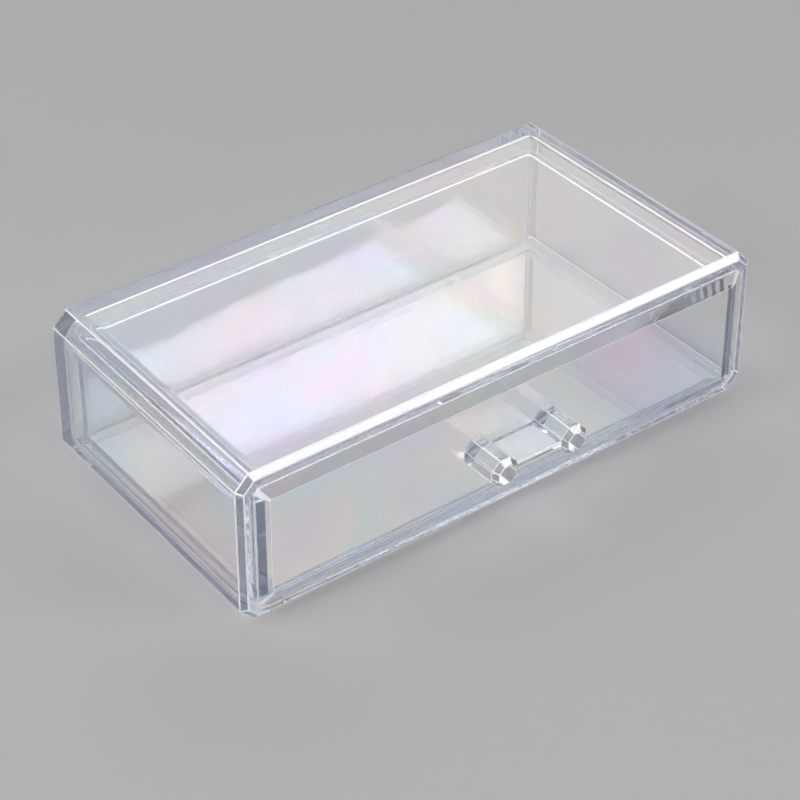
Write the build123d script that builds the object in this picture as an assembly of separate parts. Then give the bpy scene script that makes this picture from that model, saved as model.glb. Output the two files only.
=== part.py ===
from build123d import *
import os

os.makedirs("parts", exist_ok=True)

# Driving dimensions in millimetres. X is the width, Y runs from the front to the back, Z is up.
# The origin is under the middle of the whole box, level with the soles of the feet.

# Rounding of the polished outer edges of every piece
edge_radius = 0.35

# Case: a clear sleeve, closed at the back and open at the front for the drawer
case_width = 187.0
case_depth = 98.3
case_height = 51.3
case_side_draft = 1.8
case_top_draft = 0.6
case_corner_cut = 4.6
case_wall = 3.2
case_back_wall = 2.6
case_rim_bevel = 1.8
bay_long_edge_radius = 6.5
bay_back_edge_radius = 3.6

# Feet: low pads under the case's corners
foot_width = 4.8
foot_length = 4.8
foot_height = 1.0
foot_side_inset = 10.3
foot_front_inset = 3.0
foot_back_inset = 6.0

# Drawer front: a plate that stands in the case's mouth, with a raised panel and sloped margins
front_gap = 1.7
front_edge_thickness = 1.6
front_corner_cut = 1.5
panel_margin = 4.2
panel_rise = 1.75
panel_corner_cut = 0.5

# Drawer tray: an open box on the back of the drawer front, which narrows as the bay does
tray_side_gap = 3.2
tray_back_gap = 0.5
tray_running_gap = 0.3
tray_wall = 2.8
tray_floor = 4.0
tray_height = 37.8
tray_inner_corner_radius = 1.3
tray_inner_floor_radius = 0.8

# Handle: two eight-sided posts with a web between them that thins towards its front edge
post_width = 9.4
post_length = 14.0
post_end_cut = 1.6
post_spacing = 25.5
web_base_thickness = 2.6
web_edge_thickness = 2.0
web_edge_radius = 0.6
web_setback = 1.6

# Places and sizes that follow from the values above
total_depth = case_depth + panel_rise + post_length
case_front = total_depth / 2 - case_depth
case_back = case_front + case_depth
case_middle = foot_height + case_height / 2
case_back_middle = case_middle - case_top_draft / 2
case_back_width = case_width - 2 * case_side_draft
case_back_height = case_height - case_top_draft
bay_width = case_width - 2 * case_wall
bay_height = case_height - 2 * case_wall
bay_back_width = case_back_width - 2 * case_wall
bay_back_height = case_back_height - 2 * case_wall
bay_floor = foot_height + case_wall
bay_back = case_back - case_back_wall
bay_side_slope = case_side_draft / (bay_back - case_front)
front_width = bay_width - 2 * front_gap
front_height = bay_height - 2 * front_gap
panel_face = case_front - panel_rise
tray_front = case_front + front_edge_thickness
tray_back = bay_back - tray_back_gap
tray_front_width = bay_width - 2 * (tray_side_gap + bay_side_slope * front_edge_thickness)
tray_back_width = bay_back_width - 2 * (tray_side_gap - bay_side_slope * tray_back_gap)
tray_middle = bay_floor + tray_running_gap + tray_height / 2


def upright_outline(width, height, y, middle):
    """Upright rectangle at y, with its middle at the given height."""
    return Plane(origin=(0, y, middle), x_dir=(1, 0, 0), z_dir=(0, -1, 0)) * Rectangle(width, height)


def cut_corners(outline, corner_cut):
    """The outline with its four corners cut at 45 degrees."""
    return chamfer(outline.vertices(), corner_cut)


def straight_loft(first_outline, second_outline):
    """Solid with flat faces between two outlines."""
    return loft([first_outline, second_outline], ruled=True)


def round_open_box(box, corner_radius, floor_radius):
    """Box with its two back corners and its lower edges rounded, but not its front end."""
    box = fillet(box.edges().filter_by(Axis.Z).group_by(Axis.Y)[-1], corner_radius)
    front = box.bounding_box().min.Y
    lower_edges = box.edges().group_by(Axis.Z)[0].filter_by(lambda edge: edge.center().Y > front)
    return fillet(lower_edges, floor_radius)


def make_case():
    """Sleeve with cut long edges and a bevelled rim, drawn in slightly towards its closed back."""
    shoulder_outline = cut_corners(
        upright_outline(case_width, case_height, case_front + case_rim_bevel, case_middle),
        case_corner_cut)
    rim_outline = offset(shoulder_outline, -case_rim_bevel, kind=Kind.INTERSECTION)
    rim_outline = Pos(0, -case_rim_bevel, 0) * rim_outline
    back_outline = cut_corners(
        upright_outline(case_back_width, case_back_height, case_back, case_back_middle),
        case_corner_cut)
    shell = straight_loft(rim_outline, shoulder_outline) + straight_loft(shoulder_outline, back_outline)
    shell = fillet(shell.edges(), edge_radius)
    bay = straight_loft(
        upright_outline(bay_width, bay_height, case_front, case_middle),
        upright_outline(bay_back_width, bay_back_height, bay_back, case_back_middle))
    bay = fillet(bay.edges().group_by(Axis.Y)[1], bay_long_edge_radius)
    return shell - fillet(bay.edges().group_by(Axis.Y)[-1], bay_back_edge_radius)


def make_drawer_front():
    """Plate with a raised panel, whose margins slope back to the plate's edge."""
    edge_outline = cut_corners(
        upright_outline(front_width, front_height, case_front, case_middle),
        front_corner_cut)
    panel_outline = cut_corners(
        upright_outline(front_width - 2 * panel_margin, front_height - 2 * panel_margin,
                        panel_face, case_middle),
        panel_corner_cut)
    plate = extrude(edge_outline, -front_edge_thickness) + straight_loft(edge_outline, panel_outline)
    return fillet(plate.edges() - plate.edges().group_by(Axis.Y)[-1], edge_radius)


def make_drawer_tray():
    """Tray that is open on top and at its front, with walls of one thickness round its corners."""
    body = straight_loft(
        upright_outline(tray_front_width, tray_height, tray_front, tray_middle),
        upright_outline(tray_back_width, tray_height, tray_back, tray_middle))
    body = round_open_box(body, tray_inner_corner_radius + tray_wall, tray_inner_floor_radius + tray_floor)
    hollow_middle = tray_middle + tray_floor
    hollow = straight_loft(
        upright_outline(tray_front_width - 2 * tray_wall, tray_height, tray_front, hollow_middle),
        upright_outline(tray_back_width - 2 * tray_wall, tray_height, tray_back - tray_wall, hollow_middle))
    tray = body - round_open_box(hollow, tray_inner_corner_radius, tray_inner_floor_radius)
    return fillet(tray.edges().group_by(Axis.Z)[-1], edge_radius)


def make_handle():
    """Two eight-sided posts and the web between them, in one piece."""
    handle = Part()
    for side in (-1, 1):
        plane = Plane(origin=(side * post_spacing / 2, panel_face, case_middle),
                      x_dir=(1, 0, 0), z_dir=(0, -1, 0))
        octagon = RegularPolygon(post_width / 2, 8, major_radius=False, rotation=22.5)
        post = extrude(plane * octagon, post_length)
        post = chamfer(post.faces().sort_by(Axis.Y)[0].edges(), post_end_cut)
        handle += fillet(post.edges() - post.edges().group_by(Axis.Y)[-1], edge_radius)
    web_edge = panel_face - post_length + web_setback
    web = straight_loft(
        upright_outline(post_spacing, web_base_thickness, panel_face, case_middle),
        upright_outline(post_spacing, web_edge_thickness, web_edge, case_middle))
    return handle + fillet(web.edges().filter_by(Axis.X).group_by(Axis.Y)[0], web_edge_radius)


def make_foot(side, y):
    """Square pad under the left (-1) or right (1) side of the case, centred at y."""
    x = side * (case_width / 2 - foot_side_inset - foot_width / 2)
    return Pos(x, y, 0) * Box(foot_width, foot_length, foot_height,
                              align=(Align.CENTER, Align.CENTER, Align.MIN))


pieces = {
    "case": make_case(),
    "drawer_front": make_drawer_front(),
    "drawer_tray": make_drawer_tray(),
    "handle": make_handle(),
}
front_feet = case_front + foot_front_inset + foot_length / 2
back_feet = case_back - foot_back_inset - foot_length / 2
for row, foot_y in (("front", front_feet), ("back", back_feet)):
    for hand, side in (("left", -1), ("right", 1)):
        pieces[f"foot_{row}_{hand}"] = make_foot(side, foot_y)

for name, shape in pieces.items():
    export_step(shape, f"parts/{name}.step")
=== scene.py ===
import math
import bpy
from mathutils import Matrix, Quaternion, Vector


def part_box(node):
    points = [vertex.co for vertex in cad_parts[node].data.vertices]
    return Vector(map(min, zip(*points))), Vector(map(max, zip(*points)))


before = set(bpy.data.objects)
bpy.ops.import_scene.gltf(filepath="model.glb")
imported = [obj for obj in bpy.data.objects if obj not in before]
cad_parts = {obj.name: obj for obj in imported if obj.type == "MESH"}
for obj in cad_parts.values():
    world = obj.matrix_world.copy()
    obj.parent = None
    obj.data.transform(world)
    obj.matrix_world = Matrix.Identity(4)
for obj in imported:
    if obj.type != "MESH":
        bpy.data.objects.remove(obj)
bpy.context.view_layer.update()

scene = bpy.context.scene
scene.view_settings.view_transform = "Standard"


# a socket that can be used in Python sums, so shader maths reads as plain expressions
class Value:
    def __init__(self, shader, socket):
        self.shader = shader
        self.socket = socket

    def maths(self, operation, *inputs):
        return self.shader.node("ShaderNodeMath", {"operation": operation}, dict(enumerate(inputs)))

    def __add__(self, other):
        return self.maths("ADD", self, other)

    def __sub__(self, other):
        return self.maths("SUBTRACT", self, other)

    def __rsub__(self, other):
        return self.maths("SUBTRACT", other, self)

    def __mul__(self, other):
        return self.maths("MULTIPLY", self, other)

    def __lt__(self, other):
        return self.maths("LESS_THAN", self, other)

    def __gt__(self, other):
        return self.maths("GREATER_THAN", self, other)

    def __abs__(self):
        return self.maths("ABSOLUTE", self)

    __radd__ = __add__
    __rmul__ = __mul__


# the nodes of a material or of the world
class Shader:
    def __init__(self, owner):
        owner.use_nodes = True
        self.owner = owner
        self.tree = owner.node_tree
        self.tree.nodes.clear()

    # one way to add any node: its settings first, then what its sockets hold or are linked to
    def node(self, kind, settings=None, sockets=None, out=0):
        made = self.tree.nodes.new(kind)
        for key, value in (settings or {}).items():
            if key == "stops":
                self.setStops(made.color_ramp, value)
            else:
                setattr(made, key, value)
        for key, value in (sockets or {}).items():
            if isinstance(value, Value):
                self.tree.links.new(value.socket, made.inputs[key])
            else:
                made.inputs[key].default_value = value
        return Value(self, made.outputs[out])

    def setStops(self, ramp, stops):
        while len(ramp.elements) < len(stops):
            ramp.elements.new(0.5)
        for element, (place, colour) in zip(ramp.elements, stops):
            element.position = place
            element.color = (*colour, 1)

    # the place on the piece itself, in metres, which moves with the piece
    def place(self):
        return self.node("ShaderNodeTexCoord", out="Object")

    def axes(self, vector):
        split = self.tree.nodes.new("ShaderNodeSeparateXYZ")
        self.tree.links.new(vector.socket, split.inputs[0])
        return [Value(self, output) for output in split.outputs]

    def mixShaders(self, share, first, second):
        return self.node("ShaderNodeMixShader", sockets={0: share, 1: first, 2: second})

    # the rays that show a surface to the camera, straight or by way of the plastic
    def seen(self):
        kinds = ("Is Camera Ray", "Is Glossy Ray", "Is Transmission Ray")
        return sum(self.node("ShaderNodeLightPath", out=kind) for kind in kinds) > 0.5

    def finish(self, kind, sockets):
        made = self.tree.nodes.new(kind)
        for key, value in sockets.items():
            self.tree.links.new(value.socket, made.inputs[key])
        return self.owner


# clear moulded plastic: glass with faint stress colours, a little surface haze, painted highlight lines
# on the rounded edges and a blue-grey depth
plastic = {
    "ior": 1.56,
    "stressScale": 18.0,
    "stressWarp": (0.06, 0.06, 0.06),
    "stressStops": [(0.32, (0.998, 0.93, 0.965)), (0.42, (0.998, 0.97, 0.935)),
                    (0.50, (0.95, 0.985, 0.965)), (0.58, (0.92, 0.95, 0.998)),
                    (0.68, (0.98, 0.93, 0.985))],
    "rippleScale": 60.0,
    "rippleDepth": 0.00001,
    "haze": 0.03,
    # the haze colour is also what the painted highlight lines on the edges are drawn in
    "hazeColour": (0.96, 0.95, 0.955, 1),
    "hazeRoughness": 0.35,
    "edgeShare": 0.85,                          # how much of the whitish haze the rounded edges get, as painted highlight lines
    "edgeStart": 0.98,                          # a flat face along an axis measures 1 here
    "flatFaces": [(0.5, 0.02), (0.375, 0.02)],  # what sloped flat faces measure, give or take
    "depthColour": (0.85, 0.88, 0.935, 1),
    "depthDensity": 34.0,
    "shadowColour": (0.74, 0.735, 0.74, 1),     # what each surface lets through to the floor
}


# 1 on the small roundings, where the surface faces none of the ways that the flat faces do; painted
# highlight lines go here
def roundedEdge(shader, place, settings):
    x, y, z = [axis * axis for axis in shader.axes(shader.node("ShaderNodeTexCoord", out="Normal"))]
    facing = x * x + y * y + z * z
    mask = facing < settings["edgeStart"]
    for measure, margin in settings["flatFaces"]:
        mask = mask * (abs(facing - measure) > margin)
    return mask


def clearPlastic(name, settings, edges=roundedEdge, bonded=None):
    shader = Shader(bpy.data.materials.new(name))
    place = shader.place()
    warp = shader.node("ShaderNodeTexNoise", sockets={
        "Vector": place, "Scale": settings["stressScale"] / 2, "Detail": 1.0}, out="Color")
    bent = shader.node("ShaderNodeVectorMath", {"operation": "MULTIPLY_ADD"}, {
        0: warp, 1: settings["stressWarp"], 2: place})
    stress = shader.node("ShaderNodeTexNoise", sockets={
        "Vector": bent, "Scale": settings["stressScale"], "Detail": 2.0})
    tint = shader.node("ShaderNodeValToRGB", {"stops": settings["stressStops"]}, {0: stress})
    ripple = shader.node("ShaderNodeTexNoise", sockets={
        "Vector": place, "Scale": settings["rippleScale"], "Detail": 0.0})
    bump = shader.node("ShaderNodeBump", sockets={
        "Height": ripple, "Distance": settings["rippleDepth"], "Strength": 1.0}, out="Normal")
    glass = shader.node("ShaderNodeBsdfPrincipled", sockets={
        "Base Color": tint, "Roughness": 0.0, "IOR": settings["ior"], "Transmission Weight": 1.0,
        "Normal": bump})
    # faint surface haze everywhere, and on the edge mask painted highlight lines in the same whitish
    # shader
    haze = shader.node("ShaderNodeBsdfPrincipled", sockets={
        "Base Color": settings["hazeColour"], "Roughness": settings["hazeRoughness"],
        "IOR": settings["ior"]})
    share = edges(shader, place, settings) * settings["edgeShare"] + settings["haze"]
    body = shader.mixShaders(share, glass, haze)
    if bonded is not None:   # faces joined to another piece let light straight through
        body = shader.mixShaders(bonded(shader, place), body, shader.node("ShaderNodeBsdfTransparent"))
    shadow = shader.node("ShaderNodeBsdfTransparent", sockets={"Color": settings["shadowColour"]})
    inShadow = shader.node("ShaderNodeLightPath", out="Is Shadow Ray")
    depth = shader.node("ShaderNodeVolumeAbsorption", sockets={
        "Color": settings["depthColour"], "Density": settings["depthDensity"]})
    return shader.finish("ShaderNodeOutputMaterial", {
        "Surface": shader.mixShaders(inShadow, body, shadow), "Volume": depth})


# the case's outer faces: an edge is where two of them are near and gets a painted highlight line, and
# its pads are joined to it
caseLow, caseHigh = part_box("case")
caseForm = {"edgeLine": 0.00018, "cornerCut": 0.0046, "rimBevel": 0.0018, "sideSlope": 0.0186,
            "topSlope": 0.0062, "jointSkin": 0.00004}
padPlaces = [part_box("foot_front_right"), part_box("foot_back_right")]


def caseEdges(shader, place, settings):
    x, y, z = shader.axes(place)
    front = caseLow[1] - y
    side = abs(x) - front * caseForm["sideSlope"] - caseHigh[0]
    top = z - front * caseForm["topSlope"] - caseHigh[2]
    under = caseLow[2] - z
    around = [side, top, under]
    around += [(side + across + caseForm["cornerCut"]) * math.sqrt(0.5) for across in (top, under)]
    faces = around + [(face + front + caseForm["rimBevel"]) * math.sqrt(0.5) for face in around]
    faces += [front, y - caseHigh[1]]
    return sum(face > -caseForm["edgeLine"] for face in faces) > 1.5


def caseJoint(shader, place):
    x, y, z = shader.axes(place)
    onPads = []
    for low, high in padPlaces:
        across = abs(abs(x) - (low[0] + high[0]) / 2) < (high[0] - low[0]) / 2
        along = abs(y - (low[1] + high[1]) / 2) < (high[1] - low[1]) / 2
        onPads.append(across * along)
    return (z < caseLow[2] + caseForm["jointSkin"]) * sum(onPads)


def padJoint(shader, place):
    return shader.axes(place)[2] > caseLow[2] - caseForm["jointSkin"]


# the tray is open in front, and only the roundings of its rim are edges with painted highlight lines
trayLow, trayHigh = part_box("drawer_tray")
trayForm = {"wall": 0.0028, "floor": 0.004, "rim": 0.0005, "jointSkin": 0.00004}


def trayRim(shader, place, settings):
    return roundedEdge(shader, place, settings) * (shader.axes(place)[2] > trayHigh[2] - trayForm["rim"])


def trayJoint(shader, place):
    return shader.axes(place)[1] < trayLow[1] + trayForm["jointSkin"]


# the drawer front carries the tray on its back and the handle's two posts and web on its face
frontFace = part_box("drawer_front")[0][1]
handleLow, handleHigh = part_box("handle")
handleMiddle = (handleLow[2] + handleHigh[2]) / 2
handleForm = {"postHalf": 0.0047, "postPlace": 0.01275, "webHalf": 0.0013, "jointSkin": 0.00004}


def frontJoint(shader, place):
    x, y, z = shader.axes(place)
    atBack = y > trayLow[1] - trayForm["jointSkin"]
    inTray = (abs(x) < trayHigh[0]) * (z < trayHigh[2]) * (z > trayLow[2])
    hollow = (abs(x) < trayHigh[0] - trayForm["wall"]) * (z > trayLow[2] + trayForm["floor"])
    atFace = y < frontFace + handleForm["jointSkin"]
    across = abs(abs(x) - handleForm["postPlace"])
    up = abs(z - handleMiddle)
    half = handleForm["postHalf"]
    onPost = (across < half) * (up < half) * (across + up < half * math.sqrt(2))
    onWeb = (abs(x) < handleForm["postPlace"]) * (up < handleForm["webHalf"])
    return atBack * inTray * (1 - hollow) + atFace * (onPost + onWeb) > 0.5


def handleJoint(shader, place):
    return shader.axes(place)[1] > handleHigh[1] - handleForm["jointSkin"]


frontPlastic = dict(plastic, flatFaces=[(0.5, 0.02), (0.748, 0.02)])   # its margins slope gently
materials = {
    "case": clearPlastic("caseClear", plastic, caseEdges, caseJoint),
    "drawer_front": clearPlastic("drawerFrontClear", frontPlastic, bonded=frontJoint),
    "drawer_tray": clearPlastic("drawerTrayClear", plastic, trayRim, trayJoint),
    "handle": clearPlastic("handleClear", plastic, bonded=handleJoint),
    "foot": clearPlastic("footClear", plastic, bonded=padJoint),
}
for nodeName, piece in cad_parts.items():
    piece.data.materials.clear()
    piece.data.materials.append(materials["foot" if nodeName.startswith("foot") else nodeName])
print("plastic on", len(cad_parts), "pieces")


# pale floor that fades into the colour of the studio's walls
studio = {"floorSize": 8.0, "floorHeight": 0.00002, "floorColour": (0.44, 0.436, 0.442, 1),
          "floorRoughness": 0.6, "fadeStart": 0.6, "fadeEnd": 1.9, "wallColour": (0.35, 0.35, 0.36, 1),
          "fillColour": (0.072, 0.072, 0.074, 1)}
bpy.ops.mesh.primitive_plane_add(size=studio["floorSize"], location=(0, 0, studio["floorHeight"]))
floor = bpy.context.object
floor.name = "floor"
floorShader = Shader(bpy.data.materials.new("floorPaint"))
paint = floorShader.node("ShaderNodeBsdfPrincipled", sockets={
    "Base Color": studio["floorColour"], "Roughness": studio["floorRoughness"]})
farPaint = floorShader.node("ShaderNodeEmission", sockets={"Color": studio["wallColour"]})
away = floorShader.node("ShaderNodeVectorMath", {"operation": "LENGTH"}, {0: floorShader.place()},
                        out="Value")
fade = floorShader.node("ShaderNodeMapRange", {"interpolation_type": "SMOOTHSTEP"}, {
    "Value": away, "From Min": studio["fadeStart"], "From Max": studio["fadeEnd"]})
floor.data.materials.append(floorShader.finish("ShaderNodeOutputMaterial", {
    "Surface": floorShader.mixShaders(fade * floorShader.seen(), paint, farPaint)}))

worldShader = Shader(bpy.data.worlds.new("studio"))
fill = worldShader.node("ShaderNodeBackground", sockets={"Color": studio["fillColour"]})
walls = worldShader.node("ShaderNodeBackground", sockets={"Color": studio["wallColour"]})
scene.world = worldShader.finish("ShaderNodeOutputWorld", {
    "Surface": worldShader.mixShaders(worldShader.seen(), fill, walls)})
print("floor and walls ready")

# soft lamps in metres and watts: one veils the lid, one lights the front rim, the strips draw lines
lamps = {
    "lidSoftbox": {"at": (0.53, 0.7, 0.66), "aim": (0, 0, 0.05), "size": (1.2, 0.9), "power": 3.6},
    "rimSoftbox": {"at": (0.73, -0.89, 0.9), "aim": (0, -0.05, 0.05), "size": (0.62, 0.22), "power": 6,
                   "turn": -28},
    "leftStrip": {"at": (-1.0, 0.35, 0.75), "aim": (0, 0, 0.03), "size": (0.9, 0.08), "power": 5.5},
    "frontStrip": {"at": (-0.55, -0.85, 0.25), "aim": (0, 0, 0.03), "size": (0.8, 0.06), "power": 3.6},
    "topStrip": {"at": (-0.2, -0.1, 1.3), "aim": (0, 0, 0.03), "size": (0.9, 0.08), "power": 5.5},
}
for name, lamp in lamps.items():
    lampData = bpy.data.lights.new(name, "AREA")
    lampData.shape = "RECTANGLE"
    lampData.size, lampData.size_y = lamp["size"]
    lampData.energy = lamp["power"]
    softbox = bpy.data.objects.new(name, lampData)
    scene.collection.objects.link(softbox)
    softbox.location = lamp["at"]
    facing = (Vector(lamp["aim"]) - Vector(lamp["at"])).to_track_quat("-Z", "Y")
    turn = Quaternion((0, 0, 1), math.radians(lamp.get("turn", 0)))
    softbox.rotation_euler = (facing @ turn).to_euler()
print(len(lamps), "lamps lit")

# camera at the photograph's viewing angle, in metres and degrees from the target
view = {"azimuth": -37.086, "elevation": 36.756, "distance": 0.85,
        "target": (0.0052, 0.017425, 0.00065), "lens": 123.825, "sensor": 36.0}
azimuth = math.radians(view["azimuth"])
elevation = math.radians(view["elevation"])
back = Vector((math.sin(azimuth) * math.cos(elevation), -math.cos(azimuth) * math.cos(elevation),
               math.sin(elevation)))
cameraData = bpy.data.cameras.new("camera")
cameraData.lens = view["lens"]
cameraData.sensor_width = view["sensor"]
camera = bpy.data.objects.new("camera", cameraData)
scene.collection.objects.link(camera)
camera.location = Vector(view["target"]) + back * view["distance"]
camera.rotation_euler = (-back).to_track_quat("-Z", "Y").to_euler()
scene.camera = camera

# light crosses many walls and turns inside them, so paths are long
bounces = {"max_bounces": 48, "transmission_bounces": 48, "transparent_max_bounces": 32,
           "glossy_bounces": 48}
for kind, count in bounces.items():
    setattr(scene.cycles, kind, count)
print("camera ready")
